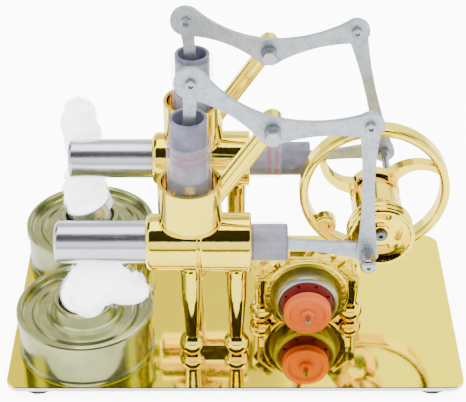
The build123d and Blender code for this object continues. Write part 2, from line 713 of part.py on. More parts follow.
def crank_pulley():
    """Deep dish with a flat web, kidney slots, a crank boss and two belt grooves."""
    ridges = 3
    pitch = (PULLEY_BACK - PULLEY_FRONT) / ridges
    web = PULLEY_FRONT + PULLEY_RECESS
    profile = [
        (SHAFT_RADIUS, web - 1.2),
        (SHAFT_RADIUS + 0.4, web - 1.5),
        (SHAFT_RADIUS + 1.2, web - 1.5),
        (SHAFT_RADIUS + 1.6, web),
        (PULLEY_RADIUS - 2.2, web),
        (PULLEY_RADIUS - 1.7, PULLEY_FRONT + 0.4),
        (PULLEY_RADIUS - 1.3, PULLEY_FRONT),
        (PULLEY_RADIUS - 0.5, PULLEY_FRONT),
    ]
    for count in range(ridges):
        front = PULLEY_FRONT + count * pitch
        profile.append((PULLEY_RADIUS, front + 0.2 * pitch))
        profile.append((PULLEY_RADIUS, front + 0.5 * pitch))
        if count < ridges - 1:
            profile.append((PULLEY_RADIUS - 0.8 * PULLEY_GROOVE, front + 0.7 * pitch))
            profile.append((PULLEY_RADIUS - PULLEY_GROOVE, front + 0.85 * pitch))
            profile.append((PULLEY_RADIUS - 0.8 * PULLEY_GROOVE, front + pitch))
    profile.append((PULLEY_RADIUS - 0.6, PULLEY_BACK))
    profile.append((SHAFT_RADIUS, PULLEY_BACK))
    pulley = turned_along_y(profile, CRANK_X, AXIS_HEIGHT)
    pin_x, pin_z = crank_pin(CRANK_ANGLE["front"])
    boss_front = UNITS["front"] + HORIZONTAL_BACK + LAYER_GAP
    for start in (-22, 68, 248):
        pulley -= kidney(7.1, 2.6, start, 44, web - 1, PULLEY_BACK - 1)
    return pulley + along_y(2.4, pin_x, boss_front, web + 0.5, pin_z)


def spoke(angle):
    """Curved spoke from the hub to the rim, tapered towards the rim."""
    def spot(radius, turn, side):
        centre = (radius * math.cos(math.radians(turn)), radius * math.sin(math.radians(turn)))
        across = math.radians(turn + 90)
        return (centre[0] + side * math.cos(across), centre[1] + side * math.sin(across))

    root = WHEEL_HUB - 1.2
    tip = WHEEL_INNER + 0.8
    half_root = 2.6
    half_middle = 1.7
    half_tip = 2.4
    upper = ThreePointArc(
        spot(root, angle + 25, half_root),
        spot((root + tip) / 2, angle + 21, half_middle),
        spot(tip, angle, half_tip),
    )
    lower = ThreePointArc(
        spot(tip, angle, -half_tip),
        spot((root + tip) / 2, angle + 21, -half_middle),
        spot(root, angle + 25, -half_root),
    )
    face = make_face([upper, Line(upper @ 1, lower @ 0), lower, Line(lower @ 1, upper @ 0)])
    front = WHEEL_FRONT + 1.0
    back = WHEEL_BACK - 2.0
    return Pos(CRANK_X, back, AXIS_HEIGHT) * Rot(90, 0, 0) * extrude(face, back - front)


def flywheel():
    middle = (WHEEL_FRONT + WHEEL_BACK) / 2
    rim = along_y(WHEEL_RADIUS, CRANK_X, WHEEL_FRONT, WHEEL_BACK, AXIS_HEIGHT)
    rim -= along_y(WHEEL_INNER, CRANK_X, WHEEL_FRONT - 1, WHEEL_BACK + 1, AXIS_HEIGHT)
    rim = fillet(rim.edges().filter_by(GeomType.CIRCLE), 1.4)
    hub = turned_along_y(
        [
            (SHAFT_RADIUS, WHEEL_FRONT - 2.5),
            (6.0, WHEEL_FRONT - 2.5),
            (6.5, WHEEL_FRONT - 2.0),
            (6.5, WHEEL_FRONT),
            (WHEEL_HUB - 0.5, WHEEL_FRONT),
            (WHEEL_HUB, WHEEL_FRONT + 0.5),
            (WHEEL_HUB, WHEEL_BACK - 2.5),
            (WHEEL_HUB - 0.5, WHEEL_BACK - 2.0),
            (SHAFT_RADIUS, WHEEL_BACK - 2.0),
        ],
        CRANK_X,
        AXIS_HEIGHT,
    )
    wheel = rim + hub
    for count in range(SPOKES):
        wheel += spoke(20 + count * 360 / SPOKES)
    lug_turn = math.radians(221)
    lug_radius = WHEEL_INNER - 1.2
    lug_x = CRANK_X + lug_radius * math.cos(lug_turn)
    lug_z = AXIS_HEIGHT + lug_radius * math.sin(lug_turn)
    lug = along_y(4.2, lug_x, middle - 2.6, middle + 2.6, lug_z)
    lug = fillet(lug.edges(), 1.0)
    wheel += lug
    pin_x, pin_z = crank_pin(CRANK_ANGLE["rear"])
    return wheel - along_y(PIN_RADIUS, pin_x, WHEEL_FRONT - 1, WHEEL_BACK, pin_z)


def rear_crank_pin():
    """Long pin on the flywheel that reaches back to the rear unit's rods."""
    x, z = crank_pin(CRANK_ANGLE["rear"])
    stop = UNITS["rear"] + VERTICAL_FRONT - LAYER_GAP
    pin = along_y(PIN_RADIUS, x, WHEEL_FRONT + 1, stop, z)
    collar = along_y(2.4, x, WHEEL_BACK - 2.0, WHEEL_BACK + 2.5, z)
    nut = hexagon_along_y(4.6, x, stop - 2.2, stop, z)
    return pin + collar + nut


def shaft_bearings():
    rings = []
    for front in (HOUSING_FRONT, HOUSING_BACK - BEARING_WIDTH):
        back = front + BEARING_WIDTH
        ring = along_y(BEARING_RADIUS, CRANK_X, front, back, AXIS_HEIGHT)
        bore = along_y(SHAFT_RADIUS + RUNNING_GAP, CRANK_X, front - 1, back + 1, AXIS_HEIGHT)
        rings.append(ring - bore)
    return Compound(rings)


# ---- bracket and generator ----
def bracket_ear(side):
    """Slanting ear where the arch runs down into a post, with the end of a clamp screw."""
    inner = (MOTOR_X + side * 13.0, MOTOR_HEIGHT + 14.2)
    outer = (MOTOR_X + side * 18.8, MOTOR_HEIGHT + 8.4)
    middle = ((inner[0] + outer[0]) / 2 + side * 1.3, (inner[1] + outer[1]) / 2 + 1.3)
    ear = round_bar(inner, outer, 4.2, RING_FRONT, RING_BACK, 0.7)
    dimple = along_y(1.0, middle[0], RING_FRONT - 1, RING_FRONT + 1.2, middle[1] - 1.0)
    return ear - dimple


def bracket_post(side):
    """Post from the plate up to the arch on one side of the generator."""
    middle = (RING_FRONT + RING_BACK) / 2
    x = MOTOR_X + side * POST_SPREAD
    post = ball_post([
        (BALL_NECK, 8.8),
        (POST_RADIUS - 0.2, 13.0),
        (POST_RADIUS, 20.0),
        (POST_RADIUS - 1.0, 21.0),
    ])
    shoulder = (MOTOR_X + side * 0.78 * RING_RADIUS, MOTOR_HEIGHT + 0.5 * RING_RADIUS)
    brace = waisted_bar((x, 18.0), shoulder, 2.8, 2.8, 2.6, middle - 2.8, middle + 2.8)
    return Pos(x, middle, 0) * post + brace


def bracket():
    """One casting: arch over the generator, two posts, and an arm up to the bearing housing."""
    middle = (RING_FRONT + RING_BACK) / 2
    ring = along_y(RING_RADIUS, MOTOR_X, RING_FRONT, RING_BACK, MOTOR_HEIGHT)
    ring = fillet(ring.edges().filter_by(GeomType.CIRCLE), 1.0)
    pad = block(MOTOR_X - 6.8, MOTOR_X + 9.0, RING_FRONT + 1.4, RING_BACK - 0.2,
                MOTOR_HEIGHT + 12.0, MOTOR_HEIGHT + RING_RADIUS + 0.7)
    pad = fillet(pad.edges().group_by(Axis.Z)[-1], 0.5)
    arm_root = (MOTOR_X + 0.66 * RING_RADIUS, MOTOR_HEIGHT + 0.62 * RING_RADIUS)
    arm = waisted_bar(arm_root, (CRANK_X - 2, AXIS_HEIGHT - 4), 4.2, 5.0, 3.1, RING_FRONT + 1, RING_BACK)
    housing = along_y(HOUSING_RADIUS, CRANK_X, HOUSING_FRONT, HOUSING_BACK, AXIS_HEIGHT)
    housing = fillet(housing.edges().filter_by(GeomType.CIRCLE), 0.8)
    body = ring + pad + arm + housing
    for side in (-1, 1):
        body += bracket_post(side) + bracket_ear(side)
    body -= turned_along_y(
        [
            (0, RING_FRONT - 5),
            (RING_MOUTH, RING_FRONT - 5),
            (RING_MOUTH, RING_FRONT + 0.2),
            (MOTOR_RADIUS, RING_FRONT + 2.0),
            (MOTOR_RADIUS, RING_BACK + 5),
            (0, RING_BACK + 5),
        ],
        MOTOR_X,
        MOTOR_HEIGHT,
    )
    body -= block(-PLATE_LENGTH, PLATE_LENGTH, -PLATE_DEPTH, PLATE_DEPTH, -20, 0)
    body -= along_y(BEARING_RADIUS, CRANK_X, HOUSING_FRONT - 1, HOUSING_FRONT + BEARING_WIDTH, AXIS_HEIGHT)
    body -= along_y(BEARING_RADIUS, CRANK_X, HOUSING_BACK - BEARING_WIDTH, HOUSING_BACK + 1, AXIS_HEIGHT)
    body -= along_y(SHAFT_RADIUS + 0.9, CRANK_X, HOUSING_FRONT, HOUSING_BACK, AXIS_HEIGHT)
    for side in (-1, 1):
        body -= along_z(SCREW_RADIUS, MOTOR_X + side * POST_SPREAD, middle, -1, SCREW_DEPTH)
    return body


def generator_can():
    wall = 0.7
    can = turned_along_y(
        [
            (MOTOR_RADIUS - wall, MOTOR_FRONT + 1.0),
            (CAP_RADIUS, MOTOR_FRONT + 0.6),
            (CAP_RADIUS, MOTOR_FRONT + 0.1),
            (CAP_RADIUS + 0.6, MOTOR_FRONT - 0.2),
            (MOTOR_RADIUS - 0.8, MOTOR_FRONT),
            (MOTOR_RADIUS - 0.2, MOTOR_FRONT + 0.5),
            (MOTOR_RADIUS, MOTOR_FRONT + 1.3),
            (MOTOR_RADIUS, MOTOR_BACK - 0.8),
            (MOTOR_RADIUS - 0.8, MOTOR_BACK),
            (1.6, MOTOR_BACK),
            (1.6, MOTOR_BACK - wall),
            (MOTOR_RADIUS - wall, MOTOR_BACK - wall),
        ],
        MOTOR_X,
        MOTOR_HEIGHT,
    )
    return can


def generator_face():
    """Moulded end cap with a collar for the shaft and a ring of vent holes."""
    cap = turned_along_y(
        [
            (MOTOR_SHAFT_RADIUS + RUNNING_GAP, MOTOR_FRONT - 1.2),
            (3.0, MOTOR_FRONT - 1.2),
            (3.2, MOTOR_FRONT + 0.3),
            (CAP_RADIUS - 0.05, MOTOR_FRONT + 0.3),
            (CAP_RADIUS - 0.05, MOTOR_FRONT + 1.1),
            (MOTOR_RADIUS - 0.8, MOTOR_FRONT + 1.1),
            (MOTOR_RADIUS - 0.8, MOTOR_FRONT + 2.1),
            (MOTOR_SHAFT_RADIUS + RUNNING_GAP, MOTOR_FRONT + 2.1),
        ],
        MOTOR_X,
        MOTOR_HEIGHT,
    )
    holes = 8
    hole_ring = CAP_RADIUS - 1.5
    for count in range(holes):
        turn = 2 * math.pi * (count + 0.5) / holes
        x = MOTOR_X + hole_ring * math.cos(turn)
        z = MOTOR_HEIGHT + hole_ring * math.sin(turn)
        cap -= along_y(0.7, x, MOTOR_FRONT - 1, MOTOR_FRONT + 3, z)
    return cap


def generator_rotor():
    shaft = along_y(MOTOR_SHAFT_RADIUS, MOTOR_X, MOTOR_SHAFT_TIP, MOTOR_BACK - 0.3, MOTOR_HEIGHT)
    shaft = chamfer(shaft.edges().sort_by(Axis.Y)[0], 0.25)
    return shaft + along_y(8.5, MOTOR_X, MOTOR_FRONT + 3.0, MOTOR_BACK - 2.5, MOTOR_HEIGHT)


def generator_pulley():
    middle = (DRIVE_FRONT + DRIVE_BACK) / 2
    pulley = turned_along_y(
        [
            (MOTOR_SHAFT_RADIUS, DRIVE_FRONT - 0.8),
            (2.2, DRIVE_FRONT - 0.8),
            (2.6, DRIVE_FRONT - 0.4),
            (2.6, DRIVE_FRONT + 1.0),
            (6.4, DRIVE_FRONT + 1.0),
            (7.0, DRIVE_FRONT),
            (DRIVE_RADIUS - 0.3, DRIVE_FRONT),
            (DRIVE_RADIUS, DRIVE_FRONT + 0.3),
            (DRIVE_RADIUS, DRIVE_FRONT + 0.6),
            (DRIVE_RADIUS - 1.2, middle),
            (DRIVE_RADIUS, DRIVE_BACK - 0.6),
            (DRIVE_RADIUS, DRIVE_BACK - 0.3),
            (DRIVE_RADIUS - 0.3, DRIVE_BACK),
            (MOTOR_SHAFT_RADIUS, DRIVE_BACK),
        ],
        MOTOR_X,
        MOTOR_HEIGHT,
    )
    return pulley


def main():
    os.makedirs("parts", exist_ok=True)
    write("base_plate", base_plate())
    write("rubber_feet", rubber_feet())
    write("base_screws", base_screws())
    for side, place in BURNERS.items():
        write(side + "_burner_can", can_body(place))
        write(side + "_burner_lid", can_lid(place))
        write(side + "_wick_cup", wick_cup(side))
        write(side + "_cotton_wick", cotton_wick(side))
    for side, y in UNITS.items():
        write(side + "_cylinder_block", cylinder_block(side))
        write(side + "_hot_cylinder", hot_cylinder(y))
        write(side + "_guide_tube", guide_tube(y))
        write(side + "_glass_sleeve", glass_sleeve(side))
        write(side + "_displacer", displacer(side))
        write(side + "_displacer_rod", displacer_rod(side))
        for name, place in (("power", power_place(side)), ("guide", guide_place(side))):
            write(side + "_" + name + "_piston", place * piston())
            write(side + "_" + name + "_rings", Compound([place * ring for ring in piston_rings()]))
            write(side + "_" + name + "_wrist_pin", place * wrist_pin())
        write(side + "_beam", beam(side))
        write(side + "_beam_screws", beam_screws(side))
        write(side + "_piston_link", piston_link(side))
        write(side + "_vertical_rod", vertical_rod(side))
        write(side + "_horizontal_rod", horizontal_rod(side))
        write(side + "_crank_spacer", crank_spacer(side))
    write("front_crank_bolt", crank_bolt())
    write("rod_bushes", rod_bushes())
    write("pivot_bolts", pivot_bolts())
    write("crankshaft", crankshaft())
    write("crank_pulley", crank_pulley())
    write("flywheel", flywheel())
    write("rear_crank_pin", rear_crank_pin())
    write("shaft_bearings", shaft_bearings())
    write("bearing_bracket", bracket())
    write("generator_can", generator_can())
    write("generator_face", generator_face())
    write("generator_rotor", generator_rotor())
    write("generator_pulley", generator_pulley())


main()
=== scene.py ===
import math
import random

import bmesh
import bpy
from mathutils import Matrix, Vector, noise


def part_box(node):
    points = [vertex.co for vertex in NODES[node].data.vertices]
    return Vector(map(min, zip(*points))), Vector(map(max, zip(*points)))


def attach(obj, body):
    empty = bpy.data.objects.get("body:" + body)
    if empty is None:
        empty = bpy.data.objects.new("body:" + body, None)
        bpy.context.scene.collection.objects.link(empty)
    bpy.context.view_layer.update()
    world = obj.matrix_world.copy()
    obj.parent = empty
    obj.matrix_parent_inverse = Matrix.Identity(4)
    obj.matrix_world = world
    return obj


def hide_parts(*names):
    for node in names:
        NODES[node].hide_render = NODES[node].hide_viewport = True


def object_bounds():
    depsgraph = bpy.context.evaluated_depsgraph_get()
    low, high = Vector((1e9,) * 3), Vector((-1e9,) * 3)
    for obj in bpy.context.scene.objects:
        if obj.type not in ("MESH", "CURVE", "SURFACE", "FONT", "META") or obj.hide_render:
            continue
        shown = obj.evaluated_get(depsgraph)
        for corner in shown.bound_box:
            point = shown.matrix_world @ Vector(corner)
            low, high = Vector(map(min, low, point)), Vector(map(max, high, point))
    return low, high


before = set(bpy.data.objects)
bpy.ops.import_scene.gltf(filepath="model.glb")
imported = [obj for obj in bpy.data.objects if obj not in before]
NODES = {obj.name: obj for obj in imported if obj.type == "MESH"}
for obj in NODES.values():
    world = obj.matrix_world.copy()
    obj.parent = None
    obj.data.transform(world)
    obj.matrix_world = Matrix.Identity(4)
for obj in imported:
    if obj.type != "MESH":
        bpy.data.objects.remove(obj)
cad_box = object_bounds()
MM = 0.001
LOW, HIGH = (Vector(corner) for corner in cad_box)
MIDDLE = (LOW + HIGH) / 2
SIDES = ("front", "rear")

# ---- materials: colours as (red, green, blue), scatter radius in metres ----
GOLD_LIGHT = (1.0, 0.88, 0.0)
GOLD_DEEP = (1.0, 0.80, 0.0)
CAST_LIGHT = (0.98, 0.80, 0.08)
CAST_DEEP = (0.94, 0.70, 0.02)
SHEARED_EDGE = (0.86, 0.86, 0.88)
SOFT_SCATTER = (3 * MM, 3 * MM, 3 * MM)

# ---- cotton: metres, but tuft layers are (feature size, push) in millimetres ----
SKIN_CELL = 0.5 * MM
TUFT_LAYERS = ((6.0, 1.5), (2.4, 1.0), (0.9, 0.5))
CALM_ABOVE_NECK = 3 * MM
CALM_FADE = 4 * MM
CYLINDER_GAP = 0.3 * MM
FIBRE_START = 3 * MM
FIBRE_ROOM = 3.5 * MM
FIBRE_COUNT = 700
FIBRE_LENGTHS = (1.2 * MM, 3.6 * MM)
FIBRE_RADIUS = 0.06 * MM
FIBRE_SINK = 0.2 * MM
SEEDS = {"front": 11, "rear": 12}

# ---- studio: places in metres, turns in degrees, lens in millimetres ----
FLOOR_HALF = 4.0
FLOOR_GLOW = 8.0
TENT_GLOW = 4.6
CARD_DISTANCE = 1.2
LENS = 112.1
CAMERA_PLACE = (-0.0012, -0.4522, 0.3681)
CAMERA_DOWN = 34.95
CAMERA_TURN = -0.05


# ---------------------------------------------------------------- node helpers
def set_inputs(tree, node, values):
    """Links inputs given as sockets, and sets the others on the node's own sockets."""
    for key, value in values.items():
        if isinstance(value, bpy.types.NodeSocket):
            tree.links.new(value, node.inputs[key])
        else:
            node.inputs[key].default_value = value


def new_material(name):
    material = bpy.data.materials.new(name)
    material.use_nodes = True
    tree = material.node_tree
    tree.nodes.clear()
    shader = tree.nodes.new("ShaderNodeBsdfPrincipled")
    output = tree.nodes.new("ShaderNodeOutputMaterial")
    tree.links.new(shader.outputs["BSDF"], output.inputs["Surface"])
    return material, tree, shader


def add(tree, kind, settings=None, inputs=None):
    """Adds a shader node with its properties and inputs."""
    node = tree.nodes.new("ShaderNode" + kind)
    for key, value in (settings or {}).items():
        setattr(node, key, value)
    set_inputs(tree, node, inputs or {})
    return node


def object_point(tree, scale=(1.0, 1.0, 1.0)):
    """Object coordinates in millimetres, stretched by scale."""
    place = add(tree, "TexCoord").outputs["Object"]
    factors = tuple(factor / MM for factor in scale)
    return add(tree, "Mapping", inputs={"Vector": place, "Scale": factors}).outputs["Vector"]


def noise_value(tree, point, size, detail=3.0, roughness=0.55):
    """Noise whose features are about size millimetres across."""
    values = {"Vector": point, "Scale": 1.0 / size, "Detail": detail, "Roughness": roughness}
    return add(tree, "TexNoise", inputs=values).outputs["Fac"]


def ramp(tree, value, stops):
    """Colour ramp from (position, colour) pairs; a colour may be one grey number."""
    node = add(tree, "ValToRGB", inputs={"Fac": value})
    elements = node.color_ramp.elements
    while len(elements) < len(stops):
        elements.new(0.5)
    for element, (position, colour) in zip(elements, stops):
        element.position = position
        if isinstance(colour, (int, float)):
            colour = (colour, colour, colour)
        element.color = (*colour, 1.0)
    return node.outputs["Color"]


def spread(tree, value, low, high):
    """Maps a value from 0 to 1 onto low to high."""
    return add(tree, "MapRange", inputs={"Value": value, "To Min": low, "To Max": high}).outputs["Result"]


def bump(tree, height, distance, strength=1.0, normal=None):
    """Bump whose full height is distance millimetres."""
    values = {"Height": height, "Distance": distance * MM, "Strength": strength}
    if normal is not None:
        values["Normal"] = normal
    return add(tree, "Bump", inputs=values).outputs["Normal"]


def mix_colour(tree, factor, first, second):
    """Blend from the first colour to the second; each is a socket or an (r, g, b)."""
    values = {0: factor}
    for key, value in ((6, first), (7, second)):
        values[key] = value if isinstance(value, bpy.types.NodeSocket) else (*value, 1.0)
    return add(tree, "Mix", settings={"data_type": "RGBA"}, inputs=values).outputs[2]


def link_object(thing):
    bpy.context.scene.collection.objects.link(thing)


def dress(material, *nodes):
    for name in nodes:
        NODES[name].data.materials.clear()
        NODES[name].data.materials.append(material)


# ---------------------------------------------------------------- materials
def polished_metal(name, light, deep, roughness, haze, ripple, brushed=None):
    """Plated or polished metal: slight tone patches, fine rub marks and a faint orange-peel ripple."""
    material, tree, shader = new_material(name)
    point = object_point(tree)
    patches = noise_value(tree, point, 14.0)
    marks = noise_value(tree, object_point(tree, brushed or (1.0, 1.0, 1.0)), 0.9, 5.0)
    normal = bump(tree, noise_value(tree, point, 3.0, 2.0), ripple)
    if brushed:
        normal = bump(tree, marks, 0.004, 0.5, normal)
    set_inputs(tree, shader, {
        "Base Color": mix_colour(tree, patches, light, deep),
        "Metallic": 1.0,
        "Roughness": spread(tree, marks, roughness, roughness + haze),
        "Normal": normal,
    })
    return material


def gold_plate():
    """Mirror gold on the flat faces; the sheared sides of the sheet are bare silver metal."""
    material = polished_metal("gold_plate", GOLD_LIGHT, GOLD_DEEP, 0.03, 0.07, 0.004)
    tree = material.node_tree
    shader = next(node for node in tree.nodes if node.type == "BSDF_PRINCIPLED")
    gold = shader.inputs["Base Color"].links[0].from_socket
    facing = add(tree, "TexCoord").outputs["Normal"]
    upright = add(tree, "SeparateXYZ", inputs={"Vector": facing}).outputs["Z"]
    flat = add(tree, "Math", settings={"operation": "ABSOLUTE"}, inputs={0: upright}).outputs["Value"]
    face = ramp(tree, flat, [(0.3, 0.0), (0.6, 1.0)])
    tree.links.new(mix_colour(tree, face, SHEARED_EDGE, gold), shader.inputs["Base Color"])
    return material


def tumbled_aluminium():
    """Tumbled sheet: cool grey, cloudy and speckled by the tumbling."""
    material, tree, shader = new_material("tumbled_aluminium")
    point = object_point(tree)
    cloud = noise_value(tree, point, 5.0, 5.0)
    base = ramp(tree, cloud, [(0.38, (0.22, 0.255, 0.29)), (0.62, (0.36, 0.40, 0.43))])
    speck = ramp(tree, noise_value(tree, point, 0.5, 4.0, 0.7), [(0.40, 0.0), (0.62, 1.0)])
    grain = noise_value(tree, point, 0.3, 3.0)
    set_inputs(tree, shader, {
        "Base Color": mix_colour(tree, speck, base, (0.44, 0.49, 0.53)),
        "Metallic": 0.9,
        "Roughness": spread(tree, grain, 0.30, 0.50),
        "Normal": bump(tree, grain, 0.03, 0.8),
    })
    return material


def clear_glass():
    """Thin clear tube: almost nothing face on, a milky line where the wall is seen edge on."""
    material, tree, shader = new_material("clear_glass")
    point = object_point(tree)
    film = noise_value(tree, point, 5.0, 4.0)
    edge = add(tree, "LayerWeight", inputs={"Blend": 0.35}).outputs["Facing"]
    set_inputs(tree, shader, {
        "Base Color": ramp(tree, film, [(0.3, (0.52, 0.53, 0.58)), (0.7, (0.70, 0.70, 0.76))]),
        "Alpha": ramp(tree, edge, [(0.0, 0.08), (0.5, 0.12), (0.75, 0.4), (0.95, 0.8)]),
        "Roughness": spread(tree, film, 0.02, 0.12),
        "Specular IOR Level": 0.9,
        "Normal": bump(tree, noise_value(tree, point, 8.0, 1.0), 0.02),
    })
    return material


def frosted_plastic():
    """Greyish violet translucent plastic of the pistons, turned on a lathe."""
    material, tree, shader = new_material("frosted_piston")
    cloud = noise_value(tree, object_point(tree), 5.0, 4.0)
    turning = noise_value(tree, object_point(tree, (0.15, 0.15, 1.0)), 0.5, 3.0)
    set_inputs(tree, shader, {
        "Base Color": ramp(tree, cloud, [(0.3, (0.09, 0.09, 0.14)), (0.7, (0.20, 0.20, 0.27))]),
        "Transmission Weight": 0.25,
        "Subsurface Weight": 0.2,
        "Subsurface Radius": SOFT_SCATTER,
        "Subsurface Scale": 1.0,
        "IOR": 1.4,
        "Roughness": spread(tree, turning, 0.28, 0.46),
        "Normal": bump(tree, turning, 0.015, 0.5),
    })
    return material


def lacquered_tin():
    """Pale green-gold lacquer over tinplate, with faint rolling streaks."""
    material, tree, shader = new_material("lacquered_tinplate")
    cloud = noise_value(tree, object_point(tree), 12.0, 4.0)
    streaks = noise_value(tree, object_point(tree, (1.0, 1.0, 0.08)), 0.5, 4.0)
    set_inputs(tree, shader, {
        "Base Color": ramp(tree, cloud, [(0.3, (0.24, 0.26, 0.10)), (0.7, (0.37, 0.39, 0.17))]),
        "Metallic": 0.9,
        "Coat Weight": 0.25,
        "Coat Roughness": 0.12,
        "Roughness": spread(tree, streaks, 0.13, 0.28),
        "Normal": bump(tree, streaks, 0.01, 0.4),
    })
    return material


def moulded_plastic(name, light, deep, roughness):
    """Moulded part with a faint cloud of tone and a fine grain."""
    material, tree, shader = new_material(name)
    point = object_point(tree)
    cloud = noise_value(tree, point, 4.0, 3.0)
    grain = noise_value(tree, point, 0.25, 3.0)
    set_inputs(tree, shader, {
        "Base Color": mix_colour(tree, cloud, light, deep),
        "Roughness": spread(tree, grain, roughness, roughness + 0.15),
        "Normal": bump(tree, grain, 0.012, 0.5),
    })
    return material


def black_rubber():
    material, tree, shader = new_material("black_rubber")
    point = object_point(tree)
    cloud = noise_value(tree, point, 3.0, 4.0)
    grain = noise_value(tree, point, 0.3, 4.0)
    set_inputs(tree, shader, {
        "Base Color": ramp(tree, cloud, [(0.3, 0.012), (0.8, 0.035)]),
        "Roughness": spread(tree, grain, 0.6, 0.85),
        "Normal": bump(tree, grain, 0.03, 0.7),
    })
    return material


def white_cotton():
    """Loose white fibre with fine strands in the bump; its own glow keeps it overexposed white."""
    material, tree, shader = new_material("white_cotton")
    tuft = noise_value(tree, object_point(tree), 2.2, 6.0)
    tone = ramp(tree, tuft, [(0.25, (0.88, 0.88, 0.93)), (0.6, (0.98, 0.98, 0.99))])
    fibres = noise_value(tree, object_point(tree, (1.0, 1.0, 0.3)), 0.4, 6.0, 0.7)
    set_inputs(tree, shader, {
        "Base Color": tone,
        "Emission Color": tone,
        "Emission Strength": 2.2,
        "Roughness": 0.9,
        "Sheen Weight": 0.5,
        "Sheen Roughness": 0.5,
        "Subsurface Weight": 0.5,
        "Subsurface Radius": SOFT_SCATTER,
        "Subsurface Scale": 1.0,
        "Normal": bump(tree, fibres, 0.25, 0.7),
    })
    return material


def dress_shared_nodes(cast, steel, dark_steel):
    """Plate, stand, crank and generator: the pieces that don't come as a front and rear pair."""
    motor_steel = polished_metal("motor_steel", (0.42, 0.43, 0.42), (0.26, 0.27, 0.26), 0.24, 0.2, 0.01)
    orange = moulded_plastic("orange_pulley", (0.62, 0.105, 0.0), (0.52, 0.075, 0.0), 0.35)
    red = moulded_plastic("red_end_cap", (0.24, 0.022, 0.024), (0.12, 0.012, 0.014), 0.3)
    dress(gold_plate(), "base_plate")
    dress(black_rubber(), "rubber_feet")
    dress(steel, "base_screws", "pivot_bolts", "rear_crank_pin", "front_crank_bolt")
    dress(steel, "shaft_bearings", "generator_rotor")
    dress(dark_steel, "crankshaft")
    dress(motor_steel, "generator_can")
    dress(cast, "bearing_bracket", "crank_pulley", "flywheel", "rod_bushes")
    dress(orange, "generator_pulley")
    dress(red, "generator_face")


def dress_cad_nodes():
    cast = polished_metal("gold_casting", CAST_LIGHT, CAST_DEEP, 0.04, 0.08, 0.03)
    steel = polished_metal("bright_steel", (0.46, 0.46, 0.50), (0.30, 0.30, 0.34), 0.14, 0.18, 0.02)
    dark_steel = polished_metal("dark_steel", (0.22, 0.22, 0.23), (0.12, 0.12, 0.13), 0.25, 0.2, 0.02)
    along_tube = (0.05, 1, 1)
    drawn = polished_metal(
        "drawn_stainless", (0.66, 0.67, 0.74), (0.48, 0.49, 0.56), 0.14, 0.2, 0.006, along_tube
    )
    red_ring = moulded_plastic("red_seal_ring", (0.20, 0.010, 0.035), (0.12, 0.006, 0.02), 0.35)
    dress_shared_nodes(cast, steel, dark_steel)
    parts_by_material = (
        (cast, ("cylinder_block",)),
        (drawn, ("hot_cylinder", "wick_cup")),
        (lacquered_tin(), ("burner_can", "burner_lid")),
        (clear_glass(), ("guide_tube", "glass_sleeve")),
        (frosted_plastic(), ("power_piston", "guide_piston")),
        (red_ring, ("power_rings", "guide_rings")),
        (dark_steel, ("power_wrist_pin", "guide_wrist_pin", "crank_spacer")),
        (steel, ("displacer", "displacer_rod", "beam_screws")),
        (tumbled_aluminium(), ("beam", "piston_link", "vertical_rod", "horizontal_rod")),
    )
    for material, parts in parts_by_material:
        for side in SIDES:
            dress(material, *(side + "_" + part for part in parts))


# ---------------------------------------------------------------- cotton
def modified_mesh(thing):
    """Mesh of an object with its modifiers applied."""
    depsgraph = bpy.context.evaluated_depsgraph_get()
    depsgraph.update()
    return bpy.data.meshes.new_from_object(thing.evaluated_get(depsgraph))


def remeshed(node):
    """Even quad skin over a copy of a CAD node, with the creases between its lumps melted away."""
    work = bpy.data.objects.new(node + "_work", NODES[node].data.copy())
    link_object(work)
    remesh = work.modifiers.new("remesh", "REMESH")
    remesh.mode = "VOXEL"
    remesh.voxel_size = SKIN_CELL
    soften = work.modifiers.new("soften", "SMOOTH")
    soften.factor = 0.5
    soften.iterations = 12
    mesh = modified_mesh(work)
    bpy.data.objects.remove(work)
    return mesh


def hot_cylinder_axis(side):
    """Height, depth and radius of the hot cylinder that lies over a wick."""
    low, high = (Vector(corner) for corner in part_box(side + "_hot_cylinder"))
    return (low.z + high.z) / 2, (low.y + high.y) / 2, (high.z - low.z) / 2


def clearance(point, axis):
    """Distance from a point to the skin of the hot cylinder."""
    height, depth, radius = axis
    return math.hypot(point.y - depth, point.z - height) - radius


def fluff(mesh, axis, calm_height):
    """Pushes the skin in and out in lumps, folds and fine tufts; it stays calm down in the cup."""
    for vertex in mesh.vertices:
        spot = vertex.co / MM
        push = sum(size * noise.noise(spot / scale) for scale, size in TUFT_LAYERS) * MM
        free = min(max((vertex.co.z - calm_height) / CALM_FADE, 0.0), 1.0)
        room = max(clearance(vertex.co, axis) - CYLINDER_GAP, 0.0)
        vertex.co += vertex.normal * min(push * free, room)


def strand(shape, root, direction, bend, length):
    """One tapered fibre: a thin three-sided tube that curves away from its root."""
    steps = 5
    corners = 3
    side = direction.orthogonal().normalized()
    other = direction.cross(side).normalized()
    rings = []
    for step in range(steps + 1):
        along = step / steps
        centre = root + direction * length * along + bend * length * along * along
        size = FIBRE_RADIUS * (1 - 0.8 * along)
        ring = []
        for corner in range(corners):
            turn = 2 * math.pi * corner / corners
            ring.append(shape.verts.new(centre + (side * math.cos(turn) + other * math.sin(turn)) * size))
        rings.append(ring)
    for low, high in zip(rings, rings[1:]):
        for corner in range(corners):
            follow = (corner + 1) % corners
            shape.faces.new((low[corner], low[follow], high[follow], high[corner]))
    shape.faces.new(reversed(rings[0]))
    shape.faces.new(rings[-1])


